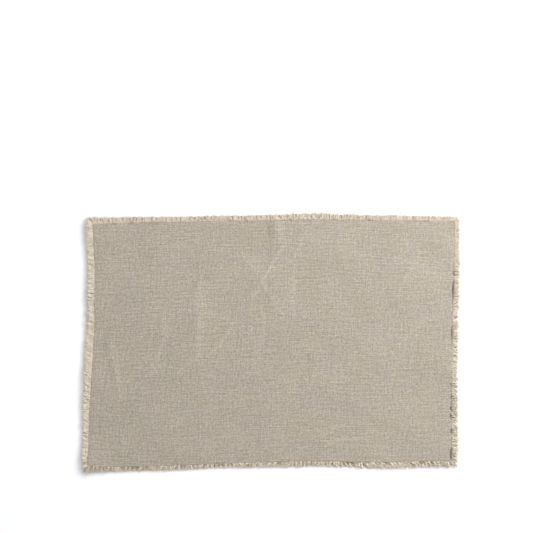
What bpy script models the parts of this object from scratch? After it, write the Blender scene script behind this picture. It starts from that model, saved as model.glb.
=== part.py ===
"""A woven table mat with a short frayed fringe on its four sides, lying on a table.

Metres, +Z up. The origin is on the table under the middle of the mat, +X runs along the long
side to the right and +Y towards the back edge.
"""

import math
import random
from collections import namedtuple

import bmesh
import bpy
from mathutils import Vector

MM = 0.001

# The cloth: one woven sheet.
CLOTH_THICKNESS = 1.4 * MM
CLOTH_COLUMNS = 60
CLOTH_ROWS = 40

# The fringe: each side is a narrow strip of bound roots with the strands' locks on it.
EDGE_GAP = 0.3 * MM
STRIP_WIDTH = 1.5 * MM
LOCKS_ON_LONG_SIDE = 86
LOCKS_ON_SHORT_SIDE = 58
LOCK_BEND_SHARE = 0.5
LOCK_BEND_WIDTH_SHARE = 0.84
LOCK_TIP_WIDTH_SHARE = 0.46
LOCK_BEND_HEIGHT = 2.3 * MM
LOCK_TIP_HEIGHT = 1.1 * MM
LOCK_DROOP_SHARE = 0.55
REACH_SPREAD = 0.8 * MM
LEAN_SPREAD_DEG = 5.0
CORNER_FAN_DEG = 34.0
CORNER_FAN_REACH = 20.0 * MM
LOCK_SEED = 11

# The cloth's four corners, without the fringe, in millimetres.
Corner = namedtuple("Corner", "x y")
CORNERS = {
    "front_left": Corner(-236.5, -159.0),
    "front_right": Corner(231.0, -152.3),
    "back_left": Corner(-230.5, 153.5),
    "back_right": Corner(236.5, 156.5),
}

# A side runs from its left or front corner to its right or back one, with the outside of the mat
# on one hand. Its sections are at shares of that run.
# sway: how far the cloth's edge stands outside the straight line between its corners, in mm.
# reach: from the cloth's edge to the strands' tips, in mm.
# lean: how far the strands lean towards the side's end, in degrees.
LEFT_HAND = 1
RIGHT_HAND = -1
Section = namedtuple("Section", "share sway reach lean")
Side = namedtuple("Side", "start end outside locks sections")
SIDES = {
    "left": Side("front_left", "back_left", LEFT_HAND, LOCKS_ON_SHORT_SIDE, (
        Section(0.0, 0.0, 6.6, 10),
        Section(0.2, -0.7, 7.4, 18),
        Section(0.4, -2.9, 9.0, 24),
        Section(0.6, -4.4, 7.4, 22),
        Section(0.8, -4.0, 7.4, 12),
        Section(1.0, 0.0, 7.2, 8),
    )),
    "right": Side("front_right", "back_right", RIGHT_HAND, LOCKS_ON_SHORT_SIDE, (
        Section(0.0, 0.0, 6.6, -6),
        Section(0.2, -1.6, 7.4, -14),
        Section(0.4, -1.3, 7.2, -8),
        Section(0.6, -1.2, 6.3, 6),
        Section(0.8, -0.2, 5.6, 10),
        Section(1.0, 0.0, 6.5, 4),
    )),
    "front": Side("front_left", "front_right", RIGHT_HAND, LOCKS_ON_LONG_SIDE, (
        Section(0.0, 0.0, 7.4, -8),
        Section(0.2, -0.3, 6.9, -20),
        Section(0.4, -1.9, 5.8, -6),
        Section(0.6, -2.7, 6.6, 8),
        Section(0.8, -0.1, 7.2, 26),
        Section(1.0, 0.0, 6.5, 10),
    )),
    "back": Side("back_left", "back_right", LEFT_HAND, LOCKS_ON_LONG_SIDE, (
        Section(0.0, 0.0, 8.0, -6),
        Section(0.2, 1.1, 6.8, 4),
        Section(0.4, 2.8, 6.3, -4),
        Section(0.6, 3.7, 7.6, 6),
        Section(0.8, 2.2, 6.3, 8),
        Section(1.0, 0.0, 6.6, 2),
    )),
}

# Where the cloth stands off the table: round rises, in mm. reach is where a rise ends.
Rise = namedtuple("Rise", "name x y height reach")
RISES = (
    Rise("curled back left corner", -240, 160, 4.2, 70),
    Rise("curled front left corner", -244, -166, 4.6, 78),
    Rise("left edge, upper wave", -240, 74, 1.8, 55),
    Rise("left edge, lower wave", -242, -62, 2.0, 60),
    Rise("lifted front right corner", 240, -160, 2.6, 42),
    Rise("right edge, wave", 240, -34, 1.2, 40),
    Rise("lifted back right corner", 244, 164, 1.6, 46),
    Rise("swell beside the gathered fold", 24, 140, 1.0, 60),
    Rise("swell in the left half", -150, 40, 0.9, 75),
    Rise("swell in the right half", 178, 60, 0.9, 80),
)

# Creases, each a soft ridge from one end to the other, in mm. half_width is from its crest to its
# foot. The crest swells from each end towards its middle.
CREASE_END_SHARE = 0.12
Crease = namedtuple("Crease", "name x0 y0 x1 y1 height half_width")
CREASES = (
    Crease("gathered fold at the back edge", 6, 164, 5, 132, 1.9, 11),
    Crease("middle fold, back half", 5, 136, 1, 12, 0.7, 12),
    Crease("middle fold, front half", 1, -22, 0, -158, 0.6, 12),
    Crease("slant beside the fold", 19, 137, -8, 82, 0.9, 12),
    Crease("short branch", -28, 108, -8, 80, 0.7, 12),
    Crease("hook below the branch", -8, 79, 15, 40, 0.8, 12),
    Crease("left long crease", -88, 62, -93, -14, 1.0, 13),
    Crease("left short crease", -133, 26, -143, -20, 0.9, 13),
    Crease("far left crease", -202, 6, -197, -60, 0.9, 13),
    Crease("left slant", -46, 22, -70, -4, 0.7, 12),
    Crease("right slant", 189, 118, 168, 70, 1.0, 13),
    Crease("right lower slant", 196, 30, 165, 6, 0.9, 13),
)

Color = namedtuple("Color", "red green blue")
CLOTH_COLOR = Color(0.46, 0.41, 0.34)
FRINGE_COLOR = Color(0.66, 0.57, 0.43)
CLOTH_ROUGHNESS = 0.92
FRINGE_ROUGHNESS = 0.95


def clear_scene():
    for leftover in list(bpy.data.objects):
        bpy.data.objects.remove(leftover, do_unlink=True)


def between(sections, share, column):
    """A column's value at a share of the side, eased from one section to the next."""
    for low, high in zip(sections, sections[1:]):
        if share <= high.share:
            break
    step = (share - low.share) / (high.share - low.share)
    eased = step * step * (3 - 2 * step)
    start = getattr(low, column)
    return start + (getattr(high, column) - start) * eased


def side_frame(side):
    """A side's start, its run to the far corner and its outward direction, in metres."""
    start = Vector(CORNERS[side.start]) * MM
    run = Vector(CORNERS[side.end]) * MM - start
    outward = side.outside * Vector((-run.y, run.x)).normalized()
    return start, run, outward


def edge_point(side, share):
    """A point on the cloth's edge."""
    start, run, outward = side_frame(side)
    return start + run * share + outward * (between(side.sections, share, "sway") * MM)


def sheet_point(u, v):
    """A point of the cloth: u runs from left to right and v from front to back."""
    front = edge_point(SIDES["front"], u)
    back = edge_point(SIDES["back"], u)
    left = edge_point(SIDES["left"], v)
    right = edge_point(SIDES["right"], v)
    corners = {name: Vector(corner) * MM for name, corner in CORNERS.items()}
    near = corners["front_left"].lerp(corners["front_right"], u)
    far = corners["back_left"].lerp(corners["back_right"], u)
    return front.lerp(back, v) + left.lerp(right, u) - near.lerp(far, v)


def hump(distance, reach):
    """1 at the crest, easing to exactly 0 at the reach and past it."""
    inside = max(0.0, 1.0 - (distance / reach) ** 2)
    return inside * inside


def crease_rise(crease, x, y):
    along = Vector((crease.x1 - crease.x0, crease.y1 - crease.y0))
    here = Vector((x - crease.x0, y - crease.y0))
    share = min(1.0, max(0.0, here.dot(along) / along.length_squared))
    foot = along * share
    swell = math.sin(math.pi * (CREASE_END_SHARE + (1.0 - 2.0 * CREASE_END_SHARE) * share))
    return crease.height * swell * hump((here - foot).length, crease.half_width)


def rise_at(point):
    """How far the cloth's underside stands off the table at a point."""
    x, y = point.x / MM, point.y / MM
    swells = sum(r.height * hump(math.hypot(x - r.x, y - r.y), r.reach) for r in RISES)
    folds = max(crease_rise(crease, x, y) for crease in CREASES)
    return (swells + folds) * MM


def make_material(name, color, roughness):
    material = bpy.data.materials.new(name)
    material.use_nodes = True
    shader = material.node_tree.nodes["Principled BSDF"]
    shader.inputs["Base Color"].default_value = (*color, 1.0)
    shader.inputs["Roughness"].default_value = roughness
    shader.inputs["Metallic"].default_value = 0.0
    return material


def add_object(name, mesh_builder, material):
    mesh = bpy.data.meshes.new(name)
    bmesh.ops.recalc_face_normals(mesh_builder, faces=mesh_builder.faces)
    mesh_builder.to_mesh(mesh)
    mesh_builder.free()
    mesh.materials.append(material)
    part = bpy.data.objects.new(name, mesh)
    bpy.context.collection.objects.link(part)
    return part


def make_cloth(material):
    """The woven sheet: a grid laid over the outline, raised by its folds and given its thickness."""
    sheet = bmesh.new()
    bmesh.ops.create_grid(sheet, x_segments=CLOTH_COLUMNS, y_segments=CLOTH_ROWS, size=0.5)
    for vert in sheet.verts:
        flat = sheet_point(vert.co.x + 0.5, vert.co.y + 0.5)
        vert.co = (flat.x, flat.y, rise_at(flat))
    upper = bmesh.ops.extrude_face_region(sheet, geom=sheet.faces[:], use_keep_orig=True)
    upper_verts = [item for item in upper["geom"] if isinstance(item, bmesh.types.BMVert)]
    bmesh.ops.translate(sheet, vec=(0.0, 0.0, CLOTH_THICKNESS), verts=upper_verts)
    return add_object("cloth", sheet, material)


def strip_section(side, share):
    """The strip's four corners at a share of the side: inner low, inner high, outer low, outer high."""
    outward = side_frame(side)[2]
    edge = edge_point(side, share)
    inner = edge + outward * EDGE_GAP
    outer = inner + outward * STRIP_WIDTH
    low = rise_at(edge)
    high = low + CLOTH_THICKNESS
    return [Vector((p.x, p.y, z)) for p in (inner, outer) for z in (low, high)]


def shape_section(face, center, along, width_share, low, high):
    """Moves an extruded face to its place on the lock, with its own width and height."""
    old_center = face.calc_center_median()
    for vert in face.verts:
        sideways = (vert.co - old_center).dot(along) * width_share
        upper = vert.co.z > old_center.z
        vert.co = Vector((center.x, center.y, 0.0)) + along * sideways
        vert.co.z = high if upper else low


def grow_lock(strip, face, side, share, chance):
    """Extrudes one lock of strands from its root face: out to its bend, then down to its tip."""
    _, run, outward = side_frame(side)
    along = run.normalized().to_3d()
    outward = outward.to_3d()
    root = face.calc_center_median()
    from_end = run.length * min(share, 1.0 - share)
    fan = CORNER_FAN_DEG * max(0.0, 1.0 - from_end / CORNER_FAN_REACH) ** 2
    lean = between(side.sections, share, "lean") + chance.uniform(-1, 1) * LEAN_SPREAD_DEG
    lean += fan if share > 0.5 else -fan
    reach = between(side.sections, share, "reach") * MM - EDGE_GAP - STRIP_WIDTH
    reach += chance.uniform(-1, 1) * REACH_SPREAD
    root_low = min(vert.co.z for vert in face.verts)
    stations = (
        (LOCK_BEND_SHARE, LOCK_BEND_WIDTH_SHARE, LOCK_BEND_HEIGHT),
        (1.0, LOCK_TIP_WIDTH_SHARE / LOCK_BEND_WIDTH_SHARE, LOCK_TIP_HEIGHT),
    )
    for out_share, width_share, height in stations:
        face = bmesh.ops.extrude_discrete_faces(strip, faces=[face])["faces"][0]
        out = reach * out_share
        center = root + outward * out + along * (out * math.tan(math.radians(lean)))
        low = root_low * (1.0 - LOCK_DROOP_SHARE * out_share)
        shape_section(face, center, along, width_share, low, low + height)


def make_fringe(name, side, material, chance):
    """One side's fringe: a strip of bound roots, with a lock of strands grown from each root."""
    strip = bmesh.new()
    rings = [
        [strip.verts.new(corner) for corner in strip_section(side, step / side.locks)]
        for step in range(side.locks + 1)
    ]
    roots = []
    for near, far in zip(rings, rings[1:]):
        for first, second in ((0, 1), (1, 3), (2, 0)):
            strip.faces.new((near[first], near[second], far[second], far[first]))
        roots.append(strip.faces.new((near[3], near[2], far[2], far[3])))
    for ring in (rings[0], rings[-1]):
        strip.faces.new((ring[0], ring[1], ring[3], ring[2]))
    for number, root in enumerate(roots):
        grow_lock(strip, root, side, (number + 0.5) / side.locks, chance)
    return add_object(name, strip, material)


def main():
    clear_scene()
    cloth_material = make_material("woven linen cloth", CLOTH_COLOR, CLOTH_ROUGHNESS)
    fringe_material = make_material("frayed linen yarn", FRINGE_COLOR, FRINGE_ROUGHNESS)
    make_cloth(cloth_material)
    chance = random.Random(LOCK_SEED)
    for name, side in SIDES.items():
        make_fringe(f"fringe_{name}", side, fringe_material, chance)


main()
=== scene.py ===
"""How a frayed linen table mat looks: its woven cloth, and the yarn ends on its four sides.

The tables and the shaping functions are in millimetres, and a mesh gets its metres as it is made.
+Z is up, +X runs along the long side to the right and +Y towards the back edge.
"""

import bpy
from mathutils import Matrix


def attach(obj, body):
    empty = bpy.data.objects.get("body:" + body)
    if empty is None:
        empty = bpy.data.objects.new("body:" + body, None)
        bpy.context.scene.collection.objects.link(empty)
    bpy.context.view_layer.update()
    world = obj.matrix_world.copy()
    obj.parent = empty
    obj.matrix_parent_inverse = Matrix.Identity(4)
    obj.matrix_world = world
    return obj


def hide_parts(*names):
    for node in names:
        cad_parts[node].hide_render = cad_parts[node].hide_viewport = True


bl_info = {
    "name": "Frayed linen table mat",
    "version": (1, 0, 0),
    "blender": (4, 5, 0),
    "location": "3D View > Sidebar > Table mat",
    "description": "Weaves the cloth and frays the edges of a table mat around its plain solids",
    "category": "Object",
}

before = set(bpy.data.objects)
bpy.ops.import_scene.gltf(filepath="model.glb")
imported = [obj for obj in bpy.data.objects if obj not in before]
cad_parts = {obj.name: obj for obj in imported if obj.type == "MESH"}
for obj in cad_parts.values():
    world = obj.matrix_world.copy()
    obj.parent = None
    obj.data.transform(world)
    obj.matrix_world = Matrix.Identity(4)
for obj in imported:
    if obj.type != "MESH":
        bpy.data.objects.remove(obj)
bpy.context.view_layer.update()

import math
from collections import namedtuple

import bpy
import numpy as np
from mathutils import Vector, noise

MM = 0.001

# ---------------------------------------------------------------- the mat's outline and folds

# The cloth's four corners, without the fringe.
Corner = namedtuple("Corner", "x y")
CORNERS = {
    "front_left": Corner(-236.5, -159.0),
    "front_right": Corner(232.4, -152.3),
    "back_left": Corner(-230.5, 153.5),
    "back_right": Corner(236.5, 156.5),
}

# A side runs from its left or front corner to its right or back one, with the outside of the mat
# on one hand. Its sections are at shares of that run.
# sway: how far the cloth's edge stands outside the straight line between its corners.
# reach: from the cloth's edge to the yarn ends' tips.
# lean: how far the yarn ends lean towards the side's end, in degrees.
LEFT_HAND = 1
RIGHT_HAND = -1
Section = namedtuple("Section", "share sway reach lean")
Side = namedtuple("Side", "start end outside sections")
SIDES = {
    "left": Side("front_left", "back_left", LEFT_HAND, (
        Section(0.0, 0.0, 6.6, 10),
        Section(0.2, -0.7, 7.4, 18),
        Section(0.4, -3.2, 9.4, 24),
        Section(0.6, -5.2, 8.8, 22),
        Section(0.8, -4.2, 8.2, 12),
        Section(0.94, -2.0, 8.8, 10),
        Section(1.0, 0.0, 7.2, 8),
    )),
    "right": Side("front_right", "back_right", RIGHT_HAND, (
        Section(0.0, 0.0, 7.2, -6),
        Section(0.1, 0.4, 7.4, -10),
        Section(0.2, -0.8, 7.4, -14),
        Section(0.4, -1.2, 7.3, -8),
        Section(0.6, -0.8, 7.0, 6),
        Section(0.8, 0.5, 6.8, 10),
        Section(1.0, 0.0, 6.5, 4),
    )),
    "front": Side("front_left", "front_right", RIGHT_HAND, (
        Section(0.0, 0.0, 7.4, -8),
        Section(0.08, 2.2, 5.2, -14),
        Section(0.2, 1.6, 5.2, 10),
        Section(0.4, -0.4, 4.5, -10),
        Section(0.5, -0.8, 4.9, -32),
        Section(0.57, -1.1, 5.1, -28),
        Section(0.63, -1.1, 5.3, 0),
        Section(0.8, 1.2, 6.0, 38),
        Section(0.9, 0.7, 6.2, 32),
        Section(1.0, 0.0, 6.5, 10),
    )),
    "back": Side("back_left", "back_right", LEFT_HAND, (
        Section(0.0, 0.0, 8.0, -6),
        Section(0.2, 1.6, 6.3, 4),
        Section(0.4, 2.8, 6.3, -4),
        Section(0.6, 3.7, 7.6, 6),
        Section(0.8, 2.2, 6.3, 8),
        Section(1.0, 0.0, 6.6, 2),
    )),
}

# Where the cloth stands off the table: round rises. reach is where a rise ends.
Rise = namedtuple("Rise", "name x y height reach")
RISES = (
    Rise("curled back left corner", -240, 160, 3.7, 70),
    Rise("curled front left corner", -244, -166, 4.5, 54),
    Rise("left edge, upper wave", -240, 74, 1.8, 55),
    Rise("left edge, lower wave", -242, -62, 2.0, 60),
    Rise("lifted front right corner", 240, -160, 2.6, 42),
    Rise("right edge, wave", 240, -34, 1.2, 40),
    Rise("lifted back right corner", 244, 164, 1.0, 36),
    Rise("swell inside that corner", 211, 129, 0.9, 36),
    Rise("swell beside the gathered fold", 24, 140, 1.0, 60),
    Rise("swell in the left half", -150, 40, 0.9, 75),
    Rise("swell in the right half", 178, 60, 0.9, 80),
    Rise("pucker right of the middle", 57, -16, 0.45, 16),
    Rise("pucker in the right half", 149, -28, 0.40, 26),
    Rise("pucker near the front, left", -155, -118, 0.35, 24),
    Rise("pucker near the front, right", 134, -144, 0.35, 22),
    Rise("swell at the front right", 204, -132, 0.6, 42),
    Rise("swell at the back left", -146, 108, 0.6, 42),
    Rise("right edge, upper swell", 208, 86, 0.35, 28),
    Rise("right edge, middle swell", 208, 37, 0.35, 28),
)

# Where it lies a little lower than around it: round dips, like the rises but downwards.
DIPS = (
    Rise("dip near the front, right half", 112, -96, 0.40, 38),
    Rise("dip in the right half", 164, 26, 0.40, 32),
    Rise("dip right of the middle", 38, 66, 0.30, 24),
    Rise("dip below the pucker", 73, -31, 0.30, 28),
    Rise("dip in the left half", -139, -23, 0.30, 26),
    Rise("dip beside the left slant", -80, 11, 0.25, 22),
    Rise("dip near the front, middle", -38, -116, 0.40, 42),
    Rise("dip near the right edge, back", 215, 100, 0.50, 24),
    Rise("small pucker below the middle", 45, -22, 0.35, 9),
)

# Creases, each a soft ridge from one end to the other. half_width is from its crest to its foot.
# Its crest swells like half a wave, with this share of it cut off at both ends.
CREASE_END_SHARE = 0.12
Crease = namedtuple("Crease", "name x0 y0 x1 y1 height half_width")
MAIN_CREASES = (
    Crease("gathered fold at the back edge", 6, 164, 5, 132, 1.8, 12),
    Crease("middle fold, back half", 5, 136, 1, 12, 0.18, 12),
    Crease("middle fold, front half", 1, -22, 0, -158, 0.2, 12),
    Crease("slant beside the fold", 19, 137, -8, 82, 0.38, 10),
    Crease("short branch", -28, 108, -8, 80, 0.3, 9),
    Crease("hook below the branch", -8, 79, 12, 40, 0.45, 10),
    Crease("left long crease", -88, 92, -95, -14, 0.5, 14),
    Crease("left short crease", -135, 34, -145, -20, 0.7, 12),
    Crease("far left crease", -205, 6, -194, -68, 0.7, 12),
    Crease("left slant", -46, 24, -73, -10, 0.6, 11),
    Crease("right slant", 188, 112, 161, 58, 0.7, 13),
    Crease("right lower slant", 198, 32, 160, 0, 0.8, 12),
    Crease("roll along the front edge, left half", -212, -139, -30, -143, 0.5, 22),
)

# Sharper, lower creases from the cloth's folding. Their crests are a little paler, partly worn by
# rubbing and partly a painted highlight, the most where they reach the height set below the table.
FINE_CREASES = (
    Crease("crossing creases, head", 20, 132, 4, 104, 0.14, 3.4),
    Crease("crossing creases, upper arm", 9, 114, -15, 73, 0.17, 3.2),
    Crease("crossing creases, lower arm", -15, 84, 5, 50, 0.14, 3.2),
    Crease("crossing creases, foot", 2, 56, 15, 34, 0.11, 3.6),
    Crease("crossing creases, left arm", -38, 118, -7, 74, 0.12, 3.4),
    Crease("crossing creases, left foot", -10, 80, -27, 50, 0.12, 3.4),
    Crease("line right of the middle, head", 42, 138, 30, 106, 0.13, 3.2),
    Crease("line right of the middle", 31, 116, 28, 26, 0.12, 3.0),
    Crease("line left of the middle, head", -12, 56, -9, 22, 0.08, 4.0),
    Crease("line left of the middle", -9, 22, -18, -26, 0.11, 4.0),
    Crease("left long crest, head", -87, 98, -95, 46, 0.10, 6.0),
    Crease("left long crest", -90, 60, -94, -20, 0.11, 6.0),
    Crease("left short crest, head", -137, 42, -139, 0, 0.09, 4.0),
    Crease("left short crest", -138, 8, -148, -25, 0.14, 3.6),
    Crease("far left crest, head", -207, 6, -200, -30, 0.11, 3.6),
    Crease("far left crest", -201, -20, -193, -73, 0.16, 3.6),
    Crease("left slant crest", -47, 26, -75, -15, 0.14, 3.6),
    Crease("left slant, upper arm", -82, 41, -48, 27, 0.08, 4.2),
    Crease("right slant crest", 187, 110, 160, 56, 0.07, 4.6),
    Crease("right slant, upper arm", 164, 137, 192, 117, 0.06, 4.2),
    Crease("right lower crest", 201, 33, 160, -8, 0.08, 4.2),
    Crease("small one at the lower left", -99, -21, -123, -41, 0.10, 4.0),
    Crease("bow at the lower left", -104, -86, -130, -113, 0.09, 5.0),
    Crease("line along the front", 70, -127, 128, -123, 0.07, 5.0),
)
CREST_WEAR_AND_HIGHLIGHT_HEIGHT = 0.16

# The soft unevenness of cloth that was washed and laid out again: waves of two sizes.
# across and along: how wide they are each way. layer: which slice of the noise gives them.
Waves = namedtuple("Waves", "height across along layer")
WASHED_WAVES = (
    Waves(0.36, 30.0, 44.0, 3.0),
    Waves(0.09, 13.0, 20.0, 8.0),
)

# ---------------------------------------------------------------- the yarn ends

# How each side's yarn ends lie, and how pale they are.
# tip_height: how high their tips are where the cloth lies on the table.
# lift: how far their middles stand up above that.
# bunch: the usual width of a bunch. gather: how closely a bunch comes together.
# uneven: how uneven their lengths are, 1 for usual.
# roots: how pale they are where they leave the cloth, from 0 to 1; darker roots are partly painted shade.
# tips: how much paler than usual they are further out, or how much darker, below 0.
# mixed: how much paler and darker ones differ.
# root_shade: how much painted shade darkens the roots of a few bunches.
# spread: how far the bunches' leans differ, in degrees.
# Roots and tips also differ from side to side partly as painted light and shade on each side's fringe.
Fall = namedtuple("Fall", "tip_height lift bunch gather uneven roots tips mixed root_shade spread")
FALLS = {
    "left": Fall(2.2, 0.2, 3.8, 0.1, 1.0, 0.56, 0.14, 0.16, 0.2, 4),
    "right": Fall(1.0, 0.1, 4.0, 0.25, 2.6, 0.42, -0.08, 0.10, 0.3, 9),
    "front": Fall(0.2, 0.2, 4.4, 1.5, 1.0, 0.38, 0.20, 0.60, 0.9, 12),
    "back": Fall(0.5, 0.2, 3.6, 0.3, 1.0, 0.52, -0.06, 0.12, 0.15, 9),
}

# Bunches differ in width, lean, reach, lift and tone, and in how closely they are gathered. Each turns
# about its middle one way or the other, usually BUNCH_TURNS times, and waves from side to side as a
# whole. The ranges are times the usual value, but BUNCH_WAVE is in millimetres.
BUNCH_WIDTH = (0.5, 1.5)
BUNCH_GATHER = (0.6, 1.3)
BUNCH_REACH_SPREAD = 0.04
BUNCH_LIFT = (0.3, 1.7)
BUNCH_WAVE = (0.2, 0.8)
BUNCH_WAVE_LENGTH = 8.0
BUNCH_TURNS = 1.1
BUNCH_TURNING = (0.6, 1.4)
BUNCH_TONE_SPREAD = 0.16

# The higher this is, the fewer bunches have painted shade at their roots.
ROOT_SHADE_RARITY = 4

# A bunch has come together by the first share of its length, and opens out again from the second, by
# the third of its width.
GATHERED_BY = 0.35
OPENS_FROM = 0.7
OPENING = 0.5

# What a bunch is made of.
# per_mm: how many strands there are for each millimetre of edge.
# sides, stations and radius: the form of a strand and how thick it is.
# start: where along the yarn end they part from it, from 0 at its root to 1 at its tip.
# reach: how far they go beside the yarn end. spread: how much that differs between them.
# lean: how far their leans differ, in degrees.
# gather: how closely they come together, from 0 to 1. coil: how far from the bunch's middle.
# carried: the share of the bunch's lean, lift and wave that they take.
# curl: how far they wave by themselves. lift: how far they stand up by themselves.
# tone: 0 is the darkest yarn and 1 the palest.
Strand = namedtuple(
    "Strand",
    "name per_mm sides stations radius start reach spread lean gather coil carried curl lift tone",
)
# The lying strands' dark tone is painted shade below and between the bunches.
STRANDS = (
    Strand("lying", 1.7, 4, 6, 0.46, 0.0, 0.95, 0.05, 14.0, 0.0, 0.0, 0.1, 0.4, 0.1, 0.14),
    Strand("yarn", 1.1, 5, 8, 0.44, 0.0, 1.00, 0.06, 10.0, 0.8, 0.36, 1.0, 0.3, 0.2, 0.80),
    Strand("ply", 1.6, 4, 6, 0.16, 0.1, 1.06, 0.12, 20.0, 0.6, 0.60, 1.0, 0.6, 0.5, 0.80),
    Strand("fibre", 2.8, 3, 5, 0.07, 0.4, 1.36, 0.18, 28.0, 0.3, 0.70, 0.8, 0.8, 0.7, 0.80),
)
FRAY_SEED = 7

# How single strands differ from the rest of their kind: where they part, how thick they are, and how
# many times the usual spread the longest and the shortest are off. None leans further than the angle.
START_SPREAD = (0.6, 1.4)
RADIUS_SPREAD = (0.75, 1.2)
LONGEST_SPREAD = 2.0
MOST_LEAN_DEG = 60.0

# How many waves of its own a strand has along it, and how far these go up beside their way sideways.
OWN_WAVES = 0.9
OWN_RISE = 0.4

# A strand is thinner at its root than further on, by the first share, and thins again to a little
# over the second one at its tip.
ROOT_RADIUS = 0.5
TIP_THINNING = 0.55

# How far inside the cloth's edge a strand starts, and how far up in the cloth's thickness.
TUCK = (0.1, 1.2)
ROOT_SHARE = (0.7, 1.0)

# At a corner the yarn ends fan out by this angle, and less and less up to this distance from it.
CORNER_FAN_DEG = 34.0
CORNER_FAN_REACH = 20.0

# The yarn ends have risen by the first share of their length. From the second one on, they settle by
# the third share of their lift. At their tips they have lost the last share of the cloth's own rise.
LIFTED_BY = 0.3
SETTLES_FROM = 0.6
SETTLING = 0.7
DROOP_SHARE = 0.45

# By this share of a yarn end's length, the tone of its root has given way to its own.
ROOT_TONE_REACH = 0.7

# Where the yarn ends stand up, start further inside the cloth's edge, and have painted shade at their
# roots.
# share is along the side, height is how far they stand up, and reach is where a tuft ends.
Tuft = namedtuple("Tuft", "side share height reach")
TUFTS = (
    Tuft("right", 0.785, 1.0, 4),
    Tuft("right", 0.720, 1.1, 16),
    Tuft("right", 0.540, 0.8, 14),
    Tuft("right", 0.321, 0.7, 4),
    Tuft("right", 0.271, 0.9, 4),
    Tuft("right", 0.247, 0.7, 3),
    Tuft("right", 0.221, 1.5, 4),
    Tuft("right", 0.190, 1.1, 5),
    Tuft("right", 0.130, 0.9, 5),
    Tuft("right", 0.032, 1.7, 12),
    Tuft("left", 0.600, 0.4, 60),
    Tuft("left", 0.834, 0.5, 4),
    Tuft("left", 0.710, 0.4, 5),
    Tuft("back", 0.064, 0.6, 4),
    Tuft("back", 0.110, 0.7, 4),
    Tuft("back", 0.384, 0.5, 5),
    Tuft("back", 0.428, 0.7, 3),
    Tuft("back", 0.549, 0.5, 3),
    Tuft("back", 0.767, 0.7, 6),
    Tuft("back", 0.922, 0.5, 5),
)

# For each millimetre that a tuft stands up: how much further inside its yarn ends start, and how much
# painted shade darkens their roots and their tips. The roots' painted shade ends at the last share of
# their length.
TUFT_TUCK = 0.8
TUFT_SHADE = 0.85
TUFT_TIP_SHADE = 0.15
TUFT_SHADE_REACH = 0.4


def hex_to_linear(text):
    """A colour written as sRGB hex, as Blender's linear red, green and blue."""
    parts = [int(text[start:start + 2], 16) / 255 for start in (1, 3, 5)]
    return tuple(p / 12.92 if p <= 0.04045 else ((p + 0.055) / 1.055) ** 2.4 for p in parts)


# ---------------------------------------------------------------- settings


class ClothSettings(bpy.types.PropertyGroup):
    thickness: bpy.props.FloatProperty(
        name="Thickness", description="How thick the woven cloth is",
        default=1.4 * MM, min=0.3 * MM, max=3 * MM, precision=4, unit="LENGTH",
    )
    yarn_pitch: bpy.props.FloatProperty(
        name="Yarn pitch", description="From one yarn to the next, in both directions",
        default=0.8 * MM, min=0.3 * MM, max=3 * MM, precision=5, unit="LENGTH",
    )
    yarn_color: bpy.props.FloatVectorProperty(
        name="Yarn", description="The linen yarn's usual colour",
        default=hex_to_linear("#9E958A"), min=0, max=1, size=3, subtype="COLOR",
    )
    warm_color: bpy.props.FloatVectorProperty(
        name="Warm yarn", description="The colour of the warmer stretches of yarn",
        default=hex_to_linear("#9E9687"), min=0, max=1, size=3, subtype="COLOR",
    )


class FringeSettings(bpy.types.PropertyGroup):
    pale_color: bpy.props.FloatVectorProperty(
        name="Pale yarn", description="The colour of the palest yarn ends",
        default=hex_to_linear("#E4DACB"), min=0, max=1, size=3, subtype="COLOR",
    )
    dark_color: bpy.props.FloatVectorProperty(
        name="Dark yarn", description="The colour of the darkest yarn ends and roots",
        default=hex_to_linear("#9E8C74"), min=0, max=1, size=3, subtype="COLOR",
    )


class StageSettings(bpy.types.PropertyGroup):
    key_power: bpy.props.FloatProperty(
        name="Key light", description="The power of the soft light at the upper right",
        default=38.5, min=0, max=2000, unit="POWER",
    )
    fill_strength: bpy.props.FloatProperty(
        name="Fill", description="How bright the white room is",
        default=0.78, min=0, max=5,
    )


# ---------------------------------------------------------------- shaping functions


def smooth(step):
    """0 to 1, easing out of 0 and into 1."""
    step = np.clip(step, 0.0, 1.0)
    return step * step * (3.0 - 2.0 * step)


def smooth_from(first, step):
    """0 up to the first step, then easing to 1 at a step of 1."""
    return smooth((step - first) / (1.0 - first))


def along_side(side, share, column):
    """A column's value at shares of the side, eased from one section to the next."""
    shares = np.array([section.share for section in side.sections])
    values = np.array([getattr(section, column) for section in side.sections], float)
    low = np.clip(np.searchsorted(shares, share) - 1, 0, len(shares) - 2)
    step = (share - shares[low]) / (shares[low + 1] - shares[low])
    return values[low] + (values[low + 1] - values[low]) * smooth(step)


def side_frame(side):
    """A side's start, its run to the far corner and its outward direction."""
    start = np.array(CORNERS[side.start])
    run = np.array(CORNERS[side.end]) - start
    outward = side.outside * np.array([-run[1], run[0]]) / np.hypot(*run)
    return start, run, outward


def edge_point(side, share):
    """Points on the cloth's edge, at shares of the side."""
    start, run, outward = side_frame(side)
    return start + np.outer(share, run) + np.outer(along_side(side, share, "sway"), outward)


def sheet_point(u, v):
    """Points of the cloth: u runs from left to right and v from front to back."""
    across, up = u[:, None], v[:, None]
    corner = {name: np.array(place) for name, place in CORNERS.items()}
    near = corner["front_left"] * (1 - across) + corner["front_right"] * across
    far = corner["back_left"] * (1 - across) + corner["back_right"] * across
    front_to_back = edge_point(SIDES["front"], u) * (1 - up) + edge_point(SIDES["back"], u) * up
    left_to_right = edge_point(SIDES["left"], v) * (1 - across) + edge_point(SIDES["right"], v) * across
    return front_to_back + left_to_right - near * (1 - up) - far * up


def hump(distance, reach):
    """1 at the crest, easing to exactly 0 at the reach and past it."""
    return np.clip(1.0 - (distance / reach) ** 2, 0.0, None) ** 2


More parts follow.
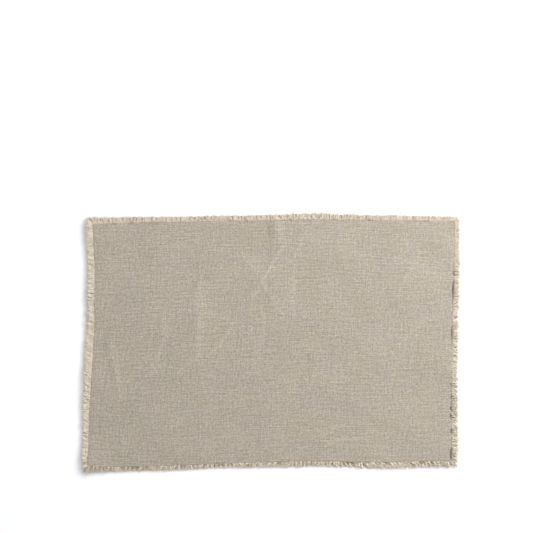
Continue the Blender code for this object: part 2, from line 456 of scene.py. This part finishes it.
def crease_rise(crease, place):
    """How high one crease stands at each place."""
    along = np.array([crease.x1 - crease.x0, crease.y1 - crease.y0])
    here = place - np.array([crease.x0, crease.y0])
    share = np.clip(here @ along / (along @ along), 0.0, 1.0)
    swell = np.sin(np.pi * (CREASE_END_SHARE + (1.0 - 2.0 * CREASE_END_SHARE) * share))
    distance = np.linalg.norm(here - np.outer(share, along), axis=1)
    return crease.height * swell * hump(distance, crease.half_width)


def crease_rises(creases, place):
    """How high the creases stand at each place. Where creases meet, the highest one counts."""
    return np.max([crease_rise(crease, place) for crease in creases], axis=0)


def round_rises(rises, place):
    """How high the round rises stand at each place. Where they meet, they add up."""
    return sum(r.height * hump(np.hypot(place[:, 0] - r.x, place[:, 1] - r.y), r.reach) for r in rises)


def rise_at(place):
    """How far the rises and the main creases lift the cloth off the table at each place."""
    return round_rises(RISES, place) + crease_rises(MAIN_CREASES, place)


def wave_height(waves, x, y):
    """How high one size of washed waves stands at a place."""
    return waves.height * noise.noise(Vector((x / waves.across, y / waves.along, waves.layer)))


def washed_waves(place):
    """How high all washed waves stand at each place."""
    return np.array([sum(wave_height(waves, x, y) for waves in WASHED_WAVES) for x, y in place])


def cut_size():
    """The cloth's width and length as it was cut, in metres, from its corners."""
    def apart(first, second):
        return math.dist(CORNERS[first], CORNERS[second])
    width = (apart("front_left", "front_right") + apart("back_left", "back_right")) / 2
    length = (apart("front_left", "back_left") + apart("front_right", "back_right")) / 2
    return width * MM, length * MM


# ---------------------------------------------------------------- meshes


def read_points(mesh):
    """The mesh's points, a row for each."""
    points = np.zeros(len(mesh.vertices) * 3)
    mesh.vertices.foreach_get("co", points)
    return points.reshape(-1, 3)


def write_points(mesh, points):
    """Puts the mesh's points at their new places."""
    mesh.vertices.foreach_set("co", points.ravel())
    mesh.update()


def add_attribute(mesh, name, values):
    """A number for each point of the mesh, for its material to read."""
    attribute = mesh.attributes.new(name, "FLOAT", "POINT")
    attribute.data.foreach_set("value", values.astype(np.float32))


def finish_piece(piece, material, node):
    """Gives a piece its material and its place in the frame."""
    piece.data.materials.clear()
    piece.data.materials.append(material)
    piece.data.shade_smooth()
    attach(piece, "root")
    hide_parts(node)


# ---------------------------------------------------------------- materials

# A Mix node has one pair of sockets for numbers and another for colours.
FIRST_NUMBER, SECOND_NUMBER = 2, 3
FIRST_COLOR, SECOND_COLOR = 6, 7
MIXED_COLOR = 2

# From nothing to all of something, and the range in which most of a noise texture's values lie.
WHOLE_SPAN = (0.0, 1.0)
NOISE_SPAN = (0.3, 0.7)

# How dark and how pale something makes the yarn, beside its usual colour.
Tones = namedtuple("Tones", "dark pale")


def set_inputs(tree, node, inputs):
    """Sets a node's inputs, each a value or a link: in the sockets' order, or by name or number."""
    pairs = inputs.items() if isinstance(inputs, dict) else enumerate(inputs)
    for socket, value in pairs:
        if isinstance(value, bpy.types.NodeSocket):
            tree.links.new(value, node.inputs[socket])
        else:
            node.inputs[socket].default_value = value


def add(tree, kind, inputs=(), output=0, **settings):
    """Adds a shader node with its settings and inputs, and gives one of its outputs."""
    node = tree.nodes.new("ShaderNode" + kind)
    for name, value in settings.items():
        setattr(node, name, value)
    set_inputs(tree, node, inputs)
    return node.outputs[output]


def new_material(name):
    """A material with its node tree and its Principled shader."""
    material = bpy.data.materials.new(name)
    material.use_nodes = True
    return material, material.node_tree, material.node_tree.nodes["Principled BSDF"]


# ---------------------------------------------------------------- the cloth

# The grid's cells from left to right and from front to back, each about 1.75 mm wide, for the
# narrowest creases. The grid is 1 wide at first, and what lies further out than this is its rim.
CLOTH_CELLS = (268, 178)
RIM_FROM = 0.4999
CLOTH_UV = "cloth_mm"

# The rim is a little lower than the cloth inside it, and the underside stays just above the table.
EDGE_ROUNDING = 0.15
UNDERSIDE_LEAST = 0.02

# The two sets of yarn. slub_length: how long their thick and thin stretches are, in millimetres.
# first_row: where in the noise their rows start. tones: a thin stretch is dark and a thick one pale.
Yarns = namedtuple("Yarns", "slub_length first_row tones")
WARP = Yarns(20.0, 11.0, Tones(0.79, 1.21))
WEFT = Yarns(32.0, 1213.0, Tones(0.74, 1.26))

# From the thinnest stretches to the thickest ones, in the noise's own measure.
SLUB_SPAN = (-0.24, 0.24)

# A thick stretch crowds the yarn that is this many places away, and makes it thinner by this share.
CROWDED_YARN = 2
CROWDING = 0.6

# How far apart in the noise one yarn and the next are, so that they don't look alike.
ROW_STEP = 7.31

# How far the yarns wander from their straight lines, and over what length, in millimetres.
WANDER = 1.4
WANDER_SPACING = 70.0

# What else makes the yarn dark or pale, and the size of each pattern in millimetres.
# crossing: one crossing of two yarns beside the next. gap: painted shade between the yarns, up to their
# crests.
# crest: paler on the sharp creases' crests, partly worn by rubbing and partly a painted highlight.
# cloud: soft shades over the whole cloth.
# fluff: real fluff is far too fine to show, so this pattern is drawn coarser.
CROSSING_TONES = Tones(0.81, 1.19)
GAP_SHADE_HEIGHTS = (0.05, 0.55)
GAP_SHADE_TONES = Tones(0.60, 1.10)
CREST_WEAR_AND_HIGHLIGHT_TONES = Tones(1.0, 1.15)
CLOUD_SPACING = 45.0
CLOUD_TONES = Tones(0.972, 1.028)
FLUFF_SPACING = 2.6
FLUFF_TONES = Tones(0.91, 1.09)

# The size of the cooler and warmer patches, and the part of the noise in which one becomes the other.
PATCH_SPACING = 30.0
PATCH_SPAN = (0.35, 0.65)


def yarn_set(tree, yarns, across, along, pitch):
    """One set of parallel yarns: the yarns' numbers, their round tops as a wave, and their tones.

    across and along are in millimetres. Each yarn has its own thick and thin stretches.
    """
    counted = add(tree, "Math", (across, 1.0 / pitch), operation="MULTIPLY")
    number = add(tree, "Math", (counted,), operation="FLOOR")
    angle = add(tree, "Math", (counted, math.pi), operation="MULTIPLY")
    wave = add(tree, "Math", (angle,), operation="SINE")
    run = add(tree, "Math", (along, 1.0 / yarns.slub_length), operation="MULTIPLY")
    slubs = []
    for places_on in (0, CROWDED_YARN):
        first_row = yarns.first_row + places_on * ROW_STEP
        row = add(tree, "Math", (number, ROW_STEP, first_row), operation="MULTIPLY_ADD")
        place = add(tree, "CombineXYZ", (run, row))
        noise_inputs = {"Vector": place, "Scale": 1.0, "Detail": 2.0, "Roughness": 0.6}
        slub = add(tree, "TexNoise", noise_inputs, noise_dimensions="2D")
        slubs.append(add(tree, "Math", (slub, 0.5), operation="SUBTRACT"))
    crowded = add(tree, "Math", (slubs[1], -CROWDING, slubs[0]), operation="MULTIPLY_ADD")
    return number, wave, add(tree, "MapRange", (crowded, *SLUB_SPAN, *yarns.tones))


def plain_weave(tree, flat, pitch):
    """The weave's pattern: how high it is, the tones of its yarns, and which crossing is where.

    The two sets take turns: where the warp is on top at one crossing, the weft is at the next.
    """
    drift_inputs = {"Vector": flat, "Scale": 1 / WANDER_SPACING, "Detail": 1.0}
    drift = add(tree, "TexNoise", drift_inputs, output="Color")
    centred = add(tree, "VectorMath", (drift, (0.5, 0.5, 0.5)), operation="SUBTRACT")
    wander = add(tree, "VectorMath", {0: centred, "Scale": WANDER}, operation="SCALE")
    bent = add(tree, "VectorMath", (flat, wander), operation="ADD")
    x = add(tree, "SeparateXYZ", (bent,), output="X")
    y = add(tree, "SeparateXYZ", (bent,), output="Y")
    warp_number, warp_wave, warp_tone = yarn_set(tree, WARP, x, y, pitch)
    weft_number, weft_wave, weft_tone = yarn_set(tree, WEFT, y, x, pitch)

    turns = add(tree, "Math", (warp_wave, weft_wave), operation="MULTIPLY")
    heights = []
    for wave, on_top in ((warp_wave, 0.5), (weft_wave, -0.5)):
        over = add(tree, "Math", (turns, on_top, 0.5), operation="MULTIPLY_ADD")
        rounded = add(tree, "Math", (wave,), operation="ABSOLUTE")
        heights.append(add(tree, "Math", (rounded, over), operation="MULTIPLY"))
    warp_height, weft_height = heights
    height = add(tree, "Math", (warp_height, weft_height), operation="MAXIMUM")
    weft_shows = add(tree, "Math", (weft_height, warp_height), operation="GREATER_THAN")
    both_tones = {0: weft_shows, FIRST_NUMBER: warp_tone, SECOND_NUMBER: weft_tone}
    tone = add(tree, "Mix", both_tones, data_type="FLOAT")
    crossing = add(tree, "CombineXYZ", (warp_number, weft_number))
    return height, tone, crossing


def weave_material(settings):
    """Linen in plain weave: matt and dry, with thick and thin yarns that show as pale and dark dashes."""
    material, tree, shader = new_material("plain woven linen")
    flat = add(tree, "UVMap", uv_map=CLOTH_UV)
    height, value, crossing = plain_weave(tree, flat, settings.yarn_pitch / MM)
    uneven = add(tree, "TexWhiteNoise", {"Vector": crossing}, noise_dimensions="2D")
    fluff = add(tree, "TexNoise", {"Vector": flat, "Scale": 1 / FLUFF_SPACING, "Detail": 0.0})
    crest_wear_and_highlight = add(tree, "Attribute", output="Fac", attribute_name="crest_wear_and_highlight")
    cloud = add(tree, "TexNoise", {"Vector": flat, "Scale": 1 / CLOUD_SPACING, "Detail": 2.0})
    for source, span, tones in (
        (uneven, WHOLE_SPAN, CROSSING_TONES),
        (fluff, NOISE_SPAN, FLUFF_TONES),
        # Painted shade between the yarns, darkest at their feet.
        (height, GAP_SHADE_HEIGHTS, GAP_SHADE_TONES),
        # Paler crests: partly wear, partly a painted highlight.
        (crest_wear_and_highlight, WHOLE_SPAN, CREST_WEAR_AND_HIGHLIGHT_TONES),
        (cloud, NOISE_SPAN, CLOUD_TONES),
    ):
        factor = add(tree, "MapRange", (source, *span, *tones))
        value = add(tree, "Math", (value, factor), operation="MULTIPLY")

    patch = add(tree, "TexNoise", {"Vector": flat, "Scale": 1 / PATCH_SPACING, "Detail": 3.0})
    warmth = add(tree, "MapRange", (patch, *PATCH_SPAN, *WHOLE_SPAN))
    color = add(
        tree, "Mix",
        {0: warmth, FIRST_COLOR: (*settings.yarn_color, 1.0), SECOND_COLOR: (*settings.warm_color, 1.0)},
        output=MIXED_COLOR, data_type="RGBA",
    )
    set_inputs(tree, shader, {
        "Base Color": add(tree, "VectorMath", {0: color, "Scale": value}, operation="SCALE"),
        "Normal": add(tree, "Bump", {"Strength": 0.5, "Distance": 0.3 * MM, "Height": height}),
        "Roughness": 0.92,
        "Specular IOR Level": 0.25,
        "Sheen Weight": 0.1,
    })
    return material


def fit_uv(mesh):
    """Gives the sheet's UV map the size that the cloth was cut to, in millimetres."""
    uv_map = mesh.uv_layers[0]
    uv_map.name = CLOTH_UV
    uv = np.zeros(len(uv_map.data) * 2)
    uv_map.data.foreach_get("uv", uv)
    uv = uv.reshape(-1, 2) * (np.array(cut_size()) / MM)
    uv_map.data.foreach_set("uv", uv.ravel())


def lay_cloth(settings):
    """The woven sheet: a grid laid over the outline, raised by its folds and given its thickness."""
    columns, rows = CLOTH_CELLS
    bpy.ops.object.select_all(action="DESELECT")
    bpy.ops.mesh.primitive_grid_add(x_subdivisions=columns, y_subdivisions=rows, size=1.0)
    cloth = bpy.context.object
    cloth.name = "woven_cloth"
    mesh = cloth.data
    grid = read_points(mesh) + 0.5
    place = sheet_point(grid[:, 0], grid[:, 1])
    at_rim = (np.abs(grid[:, :2] - 0.5) > RIM_FROM).any(axis=1)
    crests = crease_rises(FINE_CREASES, place)
    height = rise_at(place) + crests + washed_waves(place) + settings.thickness / MM
    height -= round_rises(DIPS, place) + EDGE_ROUNDING * at_rim
    write_points(mesh, np.column_stack((place, height)) * MM)
    # How much paler each crest is: partly wear, partly a painted highlight.
    add_attribute(mesh, "crest_wear_and_highlight", crests / CREST_WEAR_AND_HIGHLIGHT_HEIGHT)
    fit_uv(mesh)
    thickness = cloth.modifiers.new("Cloth thickness", "SOLIDIFY")
    thickness.thickness = settings.thickness
    thickness.offset = -1.0
    bpy.ops.object.modifier_apply(modifier=thickness.name)
    points = read_points(mesh)
    points[:, 2] = np.maximum(points[:, 2], UNDERSIDE_LEAST * MM)
    write_points(mesh, points)
    finish_piece(cloth, weave_material(settings), "cloth")


class TABLEMAT_OT_lay_cloth(bpy.types.Operator):
    """Lays the woven cloth over its solid, with its creases and raised corners"""

    bl_idname = "tablemat.lay_cloth"
    bl_label = "Lay the cloth"

    def execute(self, context):
        lay_cloth(context.scene.tablemat_cloth)
        return {"FINISHED"}


# ---------------------------------------------------------------- the fringe

Bunches = namedtuple("Bunches", "start width gather lean reach lift wave phase turns tone root_shade")

# Real yarn's flecks are far too fine to show, so these are drawn coarser. Their size is in millimetres.
FLECK_SIZE = 1.3
FLECK_TONES = Tones(0.85, 1.12)

# A yarn's tones below 0 are painted shade where it lies in deep gaps, and this is how dark they are.
DEEP_SHADE_SPAN = (-1.0, 0.0)
DEEP_SHADE_TONES = Tones(0.25, 1.0)


def strand_form(strand):
    """One straight strand of radius 1 and length 1, thinner at its root and its tip: points and faces."""
    bpy.ops.object.select_all(action="DESELECT")
    bpy.ops.mesh.primitive_circle_add(vertices=strand.sides, radius=ROOT_RADIUS, fill_type="NGON")
    form = bpy.context.object
    bpy.ops.object.mode_set(mode="EDIT")
    bpy.ops.mesh.select_all(action="SELECT")
    thin = TIP_THINNING ** (1.0 / strand.stations)
    for station in range(strand.stations):
        bpy.ops.mesh.extrude_region_move(TRANSFORM_OT_translate={"value": (0, 0, 1.0 / strand.stations)})
        size = 1.0 / ROOT_RADIUS if station == 0 else thin
        bpy.ops.transform.resize(value=(size, size, 1.0), center_override=(0.0, 0.0, 0.0))
    bpy.ops.mesh.select_all(action="SELECT")
    bpy.ops.mesh.normals_make_consistent(inside=False)
    bpy.ops.object.mode_set(mode="OBJECT")
    points = read_points(form.data)
    faces = [list(face.vertices) for face in form.data.polygons]
    bpy.data.objects.remove(form, do_unlink=True)
    return points, faces


def gather_bunches(name, chance):
    """What the yarns of each bunch share, a value for each bunch along the side."""
    count = round(np.hypot(*side_frame(SIDES[name])[1]) / FALLS[name].bunch)
    width = chance.uniform(*BUNCH_WIDTH, count)
    width /= width.sum()
    return Bunches(
        start=np.cumsum(width) - width,
        width=width,
        gather=chance.uniform(*BUNCH_GATHER, count),
        lean=chance.normal(0.0, FALLS[name].spread, count),
        reach=chance.normal(1.0, BUNCH_REACH_SPREAD, count),
        lift=chance.uniform(*BUNCH_LIFT, count),
        wave=chance.uniform(*BUNCH_WAVE, count),
        phase=chance.uniform(0.0, 2 * np.pi, count),
        turns=BUNCH_TURNS * chance.uniform(*BUNCH_TURNING, count) * chance.choice((-1, 1), count),
        tone=chance.uniform(-BUNCH_TONE_SPREAD, BUNCH_TONE_SPREAD, count),
        root_shade=chance.uniform(0.0, 1.0, count) ** ROOT_SHADE_RARITY,
    )


def tuft_lift(name, share, side_length):
    """How much further the yarn ends stand up, at shares of the side."""
    tufts = [t.height * hump((share - t.share) * side_length, t.reach) for t in TUFTS if t.side == name]
    return sum(tufts, np.zeros(len(share)))


def usual_leans(side, share, side_length):
    """How far the yarn ends usually lean at shares of the side, in degrees. They fan out at a corner."""
    from_end = side_length * np.minimum(share, 1.0 - share)
    fan = CORNER_FAN_DEG * np.clip(1.0 - from_end / CORNER_FAN_REACH, 0.0, None) ** 2
    return along_side(side, share, "lean") + np.where(share > 0.5, fan, -fan)


def strand_tones(strand, fall, held, tuft, part, chance):
    """The strands' tones at their stations, from -1 to 1."""
    own_tone = fall.mixed * (held.tone + chance.uniform(-1.0, 1.0, (len(part), 1)))
    # A tuft's yarn ends also get painted shade further out.
    outer_tone = strand.tone + fall.tips + own_tone - TUFT_TIP_SHADE * tuft
    # Roots are darker partly in their own tone and partly as painted shade where they leave the cloth.
    root_tone = fall.roots + own_tone - fall.root_shade * held.root_shade
    tone = root_tone + (outer_tone - root_tone) * smooth(part / ROOT_TONE_REACH)
    # Painted shade at the roots of tufts.
    tone -= TUFT_SHADE * tuft * (1.0 - smooth(part / TUFT_SHADE_REACH))
    return np.clip(tone, -1.0, 1.0)


def strand_lines(name, strand, bunches, thickness, chance):
    """The centre lines of one kind of strand along a side, and the tones at their stations."""
    side, fall = SIDES[name], FALLS[name]
    _, run, outward = side_frame(side)
    side_length = np.hypot(*run)
    along = run / side_length
    count = round(side_length * strand.per_mm)
    share = (np.arange(count) + chance.uniform(0.0, 1.0, count)) / count
    number = np.searchsorted(bunches.start, share, side="right") - 1
    held = Bunches(*(column[number, None] for column in bunches))
    in_bunch = (share[:, None] - held.start) / held.width
    offset = (in_bunch - 0.5) * held.width * side_length

    # How far out each strand goes, at its stations.
    usual_lean = usual_leans(side, share, side_length)
    lean = usual_lean + held.lean[:, 0] * strand.carried + chance.normal(0.0, strand.lean, count)
    lean = np.radians(np.clip(lean, -MOST_LEAN_DEG, MOST_LEAN_DEG))
    reach = along_side(side, share, "reach") * strand.reach * held.reach[:, 0]
    longer = np.clip(chance.normal(0.0, 1.0, count), -LONGEST_SPREAD, LONGEST_SPREAD)
    reach *= (1.0 + fall.uneven * strand.spread * longer) * np.cos(lean) / np.cos(np.radians(usual_lean))
    tuft = tuft_lift(name, share, side_length)[:, None] * strand.carried
    tuck = chance.uniform(*TUCK, (count, 1)) + TUFT_TUCK * tuft
    start = strand.start * chance.uniform(*START_SPREAD, (count, 1))
    part = start + (1.0 - start) * np.linspace(0.0, 1.0, strand.stations + 1)
    out = (reach[:, None] + tuck) * part - tuck

    # How far it goes along the side: with its bunch, and by itself.
    gathered = np.minimum(fall.gather * strand.gather * held.gather, 1.0) * smooth(part / GATHERED_BY)
    angle = 2 * np.pi * (in_bunch + held.turns * part)
    coil = strand.coil * gathered * (1.0 + OPENING * smooth_from(OPENS_FROM, part))
    bunch_wave = np.sin(2 * np.pi * out / BUNCH_WAVE_LENGTH + held.phase)
    bunch_wave *= held.wave * strand.carried * smooth(part)
    own_phase = chance.uniform(0.0, 2 * np.pi, (2, count, 1))
    own_wave = np.sin(2 * np.pi * OWN_WAVES * part + own_phase)
    sideways = -offset * gathered + out * np.tan(lean)[:, None] + bunch_wave + coil * np.cos(angle)
    sideways += strand.curl * smooth(part) * own_wave[0]

    # How high it is.
    root = edge_point(side, share)
    root_height = thickness * chance.uniform(*ROOT_SHARE, (count, 1)) - strand.radius
    lift = fall.lift * strand.carried * held.lift + tuft + chance.uniform(0.0, strand.lift, (count, 1))
    lifted = smooth(part / LIFTED_BY) * (1.0 - SETTLING * smooth_from(SETTLES_FROM, part))
    height = rise_at(root)[:, None] * (1.0 - DROOP_SHARE * part) + strand.radius
    height += root_height + (fall.tip_height * strand.carried - root_height) * smooth(part)
    height += lift * lifted + coil * (1.0 + np.sin(angle))
    height += OWN_RISE * strand.curl * smooth(part) * (1.0 + own_wave[1])

    flat = root[:, None, :] + out[..., None] * outward + sideways[..., None] * along
    lines = np.concatenate((flat, height[..., None]), axis=2)
    return lines, strand_tones(strand, fall, held, tuft, part, chance)


def strand_skins(lines, radius, form_points, station):
    """The form's points around every centre line, each at its station: strands by points by three."""
    run = np.gradient(lines, axis=1)
    run /= np.linalg.norm(run, axis=2, keepdims=True)
    across = np.cross(run, (0.0, 0.0, 1.0))
    across /= np.linalg.norm(across, axis=2, keepdims=True)
    up = np.cross(across, run)
    around = form_points[:, 0, None] * across[:, station] + form_points[:, 1, None] * up[:, station]
    return lines[:, station] + radius[:, None, None] * around


def fray_side(name, forms, material, thickness, chance):
    """One side's fringe in one mesh: bunched yarn ends on lying ones, their plies and loose fibres."""
    bunches = gather_bunches(name, chance)
    points, faces, tones = [], [], []
    for strand in STRANDS:
        form_points, form_faces = forms[strand.name]
        station = np.rint(form_points[:, 2] * strand.stations).astype(int)
        lines, tone = strand_lines(name, strand, bunches, thickness, chance)
        radius = strand.radius * chance.uniform(*RADIUS_SPREAD, len(lines))
        skins = strand_skins(lines, radius, form_points, station)
        first = sum(len(done) for done in points)
        steps = first + np.arange(len(lines)) * len(form_points)
        faces += [[step + corner for corner in face] for step in steps.tolist() for face in form_faces]
        points.append(skins.reshape(-1, 3))
        tones.append(tone[:, station].ravel())
    mesh = bpy.data.meshes.new(f"frayed_{name}")
    mesh.from_pydata(np.concatenate(points) * MM, [], faces)
    add_attribute(mesh, "yarn_tone", np.concatenate(tones))
    fringe = bpy.data.objects.new(f"frayed_{name}", mesh)
    bpy.context.collection.objects.link(fringe)
    finish_piece(fringe, material, f"fringe_{name}")
    return fringe


def yarn_material(settings):
    """Loose linen yarn: paler than the cloth, dry and fluffy, with tan yarns and roots among the pale.

    A tone of 1 is the palest yarn and 0 the darkest. Below 0 it is darker still, as painted shade in deep
    gaps.
    """
    material, tree, shader = new_material("frayed linen yarn")
    tone = add(tree, "Attribute", output="Fac", attribute_name="yarn_tone")
    place = add(tree, "TexCoord", output="Object")
    flecks = add(tree, "TexNoise", {"Vector": place, "Scale": 1 / (FLECK_SIZE * MM), "Detail": 2.0})
    color = add(
        tree, "Mix",
        {0: tone, FIRST_COLOR: (*settings.dark_color, 1.0), SECOND_COLOR: (*settings.pale_color, 1.0)},
        output=MIXED_COLOR, data_type="RGBA",
    )
    fleck_value = add(tree, "MapRange", (flecks, *NOISE_SPAN, *FLECK_TONES))
    # Painted shade where the tone is below 0.
    deep_shade_value = add(tree, "MapRange", (tone, *DEEP_SHADE_SPAN, *DEEP_SHADE_TONES))
    value = add(tree, "Math", (fleck_value, deep_shade_value), operation="MULTIPLY")
    set_inputs(tree, shader, {
        "Base Color": add(tree, "VectorMath", {0: color, "Scale": value}, operation="SCALE"),
        "Normal": add(tree, "Bump", {"Strength": 0.4, "Distance": 0.2 * MM, "Height": flecks}),
        "Roughness": 0.9,
        "Specular IOR Level": 0.25,
        "Sheen Weight": 0.15,
    })
    return material


class TABLEMAT_OT_fray_edges(bpy.types.Operator):
    """Makes the yarn ends on the four sides"""

    bl_idname = "tablemat.fray_edges"
    bl_label = "Fray the edges"

    def execute(self, context):
        cloth = bpy.data.objects.get("woven_cloth")
        if cloth is None:
            raise RuntimeError("the cloth is laid before its edges are frayed")
        material = yarn_material(context.scene.tablemat_fringe)
        forms = {strand.name: strand_form(strand) for strand in STRANDS}
        chance = np.random.default_rng(FRAY_SEED)
        thickness = context.scene.tablemat_cloth.thickness / MM
        fringes = [fray_side(name, forms, material, thickness, chance) for name in SIDES]
        cut_size()
        return {"FINISHED"}


# ---------------------------------------------------------------- the stage

# The view: straight down, and square on to the mat. The width is what the picture takes in.
VIEW_CENTRE = (-5.5, 98.3)
VIEW_WIDTH = 687.0
VIEW_HEIGHT = 2000.0
SENSOR = 36.0

# The key light, a wide disk at the upper right. Its azimuth runs from +X towards +Y.
KEY_DISTANCE = 1700.0
KEY_AZIMUTH_DEG = 38.0
KEY_ELEVATION_DEG = 32.0
KEY_SIZE = 1150.0

# The floor is so wide that its end is never seen, and lies just below the mat.
FLOOR_SIZE = 60000.0
FLOOR_DROP = 0.05

# The size of the grain that is drawn on it.
CARD_GRAIN = 2.0


def card_material():
    """Matt white card, a touch cool: an even pale floor with no gloss.

    Real card's grain is far too fine to show, so this one is drawn coarser.
    """
    material, tree, shader = new_material("matt white card")
    place = add(tree, "TexCoord", output="Object")
    grain = add(tree, "TexNoise", {"Vector": place, "Scale": 1 / (CARD_GRAIN * MM), "Detail": 2.0})
    set_inputs(tree, shader, {
        "Base Color": (*hex_to_linear("#EFF0F2"), 1.0),
        "Normal": add(tree, "Bump", {"Strength": 0.05, "Distance": 0.05 * MM, "Height": grain}),
        "Roughness": 0.95,
        "Specular IOR Level": 0.1,
    })
    return material


def set_stage(settings):
    """The pale floor, the soft key light, the white room, and the camera straight above."""
    bpy.ops.object.select_all(action="DESELECT")
    bpy.ops.mesh.primitive_plane_add(size=FLOOR_SIZE * MM, location=(0.0, 0.0, -FLOOR_DROP * MM))
    floor = bpy.context.object
    floor.name = "studio_floor"
    floor.data.materials.append(card_material())

    turn, tilt = math.radians(KEY_AZIMUTH_DEG), math.radians(KEY_ELEVATION_DEG)
    towards = Vector((math.cos(turn) * math.cos(tilt), math.sin(turn) * math.cos(tilt), math.sin(tilt)))
    bpy.ops.object.light_add(type="AREA", location=towards * KEY_DISTANCE * MM)
    key = bpy.context.object
    key.name = "soft_key_light"
    key.rotation_euler = towards.to_track_quat("Z", "Y").to_euler()
    key.data.shape = "DISK"
    key.data.size = KEY_SIZE * MM
    key.data.energy = settings.key_power

    world = bpy.data.worlds.new("white studio")
    world.use_nodes = True
    sky = world.node_tree.nodes["Background"]
    sky.inputs["Color"].default_value = (*hex_to_linear("#FEFEFF"), 1.0)
    sky.inputs["Strength"].default_value = settings.fill_strength
    bpy.context.scene.world = world
    bpy.context.scene.view_settings.view_transform = "Standard"

    bpy.ops.object.camera_add(location=(VIEW_CENTRE[0] * MM, VIEW_CENTRE[1] * MM, VIEW_HEIGHT * MM))
    camera = bpy.context.object
    camera.name = "view_from_above"
    camera.rotation_euler = (0.0, 0.0, 0.0)
    camera.data.sensor_width = SENSOR
    camera.data.lens = SENSOR * VIEW_HEIGHT / VIEW_WIDTH
    camera.data.clip_end = 100.0
    bpy.context.scene.camera = camera


class TABLEMAT_OT_set_stage(bpy.types.Operator):
    """Sets the pale floor, the soft light and the camera above the mat"""

    bl_idname = "tablemat.set_stage"
    bl_label = "Set the stage"

    def execute(self, context):
        set_stage(context.scene.tablemat_stage)
        return {"FINISHED"}


# ---------------------------------------------------------------- the add-on


class TABLEMAT_PT_sidebar(bpy.types.Panel):
    """The mat's settings, with a button for each step"""

    bl_label = "Table mat"
    bl_idname = "TABLEMAT_PT_sidebar"
    bl_space_type = "VIEW_3D"
    bl_region_type = "UI"
    bl_category = "Table mat"

    def draw(self, context):
        for group_name, _, operator in STEPS:
            group = getattr(context.scene, group_name)
            box = self.layout.box()
            for setting in group.bl_rna.properties.keys():
                if setting not in ("rna_type", "name"):
                    box.prop(group, setting)
            box.operator(operator.bl_idname)


# What is set, and what is then made, in order.
STEPS = (
    ("tablemat_cloth", ClothSettings, TABLEMAT_OT_lay_cloth),
    ("tablemat_fringe", FringeSettings, TABLEMAT_OT_fray_edges),
    ("tablemat_stage", StageSettings, TABLEMAT_OT_set_stage),
)


def register():
    for group_name, settings, operator in STEPS:
        bpy.utils.register_class(settings)
        bpy.utils.register_class(operator)
        setattr(bpy.types.Scene, group_name, bpy.props.PointerProperty(type=settings))
    bpy.utils.register_class(TABLEMAT_PT_sidebar)


def unregister():
    bpy.utils.unregister_class(TABLEMAT_PT_sidebar)
    for group_name, settings, operator in reversed(STEPS):
        delattr(bpy.types.Scene, group_name)
        bpy.utils.unregister_class(operator)
        bpy.utils.unregister_class(settings)


def main():
    register()
    bpy.ops.tablemat.lay_cloth()
    bpy.ops.tablemat.fray_edges()
    bpy.ops.tablemat.set_stage()


if __name__ == "__main__":
    main()
